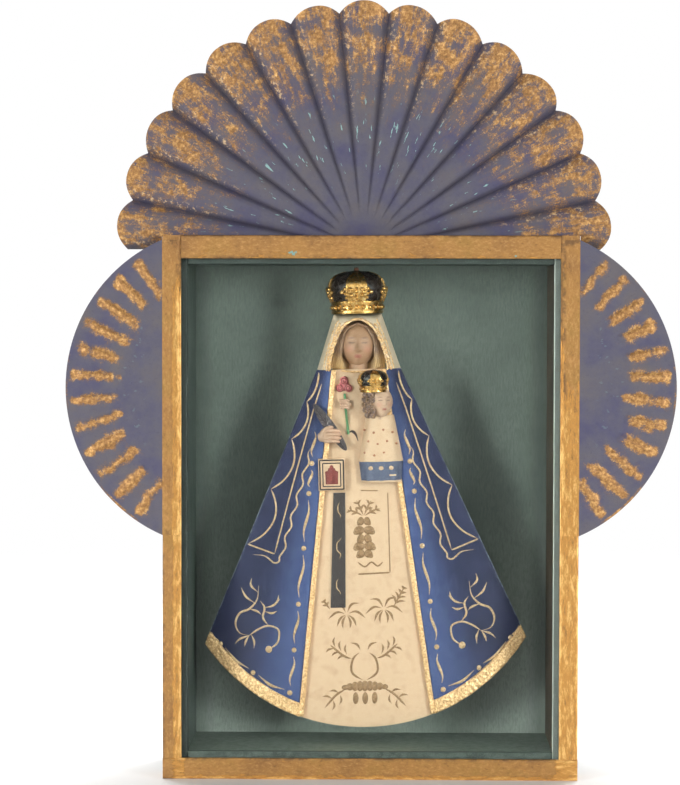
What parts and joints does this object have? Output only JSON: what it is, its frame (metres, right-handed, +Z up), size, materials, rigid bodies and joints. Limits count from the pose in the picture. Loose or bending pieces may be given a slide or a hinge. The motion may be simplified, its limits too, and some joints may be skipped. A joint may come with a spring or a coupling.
{
  "type": "retablo box",
  "caption": "Tin shrine box with a sliding glass front, fluted shell crest, rayed ears and a painted relief figure of a crowned mother and child.",
  "frame": {"origin": "centre of the floor's underside, half way between the box's front and back", "axes": "+X to the viewer's right, +Y from the glass to the back, +Z up"},
  "size_m": [0.2636, 0.0587, 0.3377],
  "materials": {
    "tin": "painted tin plate, green inside",
    "green_board": "board painted grey-green",
    "gold_frame": "brushed gold paint on tin",
    "blue_tin": "blue-grey paint rubbed with gold",
    "pane": "clear window glass",
    "wire": "bare steel wire",
    "bare_wood": "plain softwood",
    "cream": "carved wood painted cream",
    "blue": "carved wood painted blue",
    "gold": "carved wood painted gold",
    "white": "carved wood painted white",
    "skin": "carved wood painted flesh colour",
    "brown": "carved wood painted dark brown",
    "dark": "carved wood painted near black",
    "red": "carved wood painted red",
    "pink": "carved wood painted pink",
    "green": "carved wood painted green"
  },
  "bodies": {
    "box": {"back_lining": "green_board", "back_sheet": "tin", "block_tacks": "wire", "bottom_rail": "gold_frame", "bottom_stop": "tin", "child_body": "cream", "child_crown_cap": "dark", "child_crown_frame": "gold", "child_hair": "brown", "child_head": "skin", "child_wrap": "blue", "crest": "blue_tin", "crown_cap": "dark", "crown_frame": "gold", "crown_knob": "red", "figure_block": "bare_wood", "floor_wall": "tin", "flower": "pink", "flower_stem": "green", "gown": "cream", "hair": "brown", "hanger_strap": "tin", "head": "skin", "left_braid": "gold", "left_ear": "blue_tin", "left_hand": "skin", "left_hem": "gold", "left_mantle": "blue", "left_stile": "gold_frame", "left_stop": "tin", "left_wall": "tin", "quill": "brown", "right_braid": "gold", "right_ear": "blue_tin", "right_hand": "skin", "right_hem": "gold", "right_mantle": "blue", "right_stile": "gold_frame", "right_stop": "tin", "right_wall": "tin", "scapular_badge": "cream", "scapular_ribbon": "brown", "top_rail": "gold_frame", "top_stop": "tin", "top_wall": "tin", "veil": "white"},
    "pane": {"glass_pane": "pane"},
    "ring": {"hanger_ring": "wire"}
  },
  "joints": [
    {"name": "glass_slide", "type": "slide", "parent": "box", "child": "pane", "axis": [1, 0, 0], "range_m": [0, 0.165]},
    {"name": "ring_flip", "type": "hinge", "parent": "box", "child": "ring", "pos_m": [0, 0.02835, 0.222], "axis": [1, 0, 0], "range_deg": [0, 180]}
  ]
}
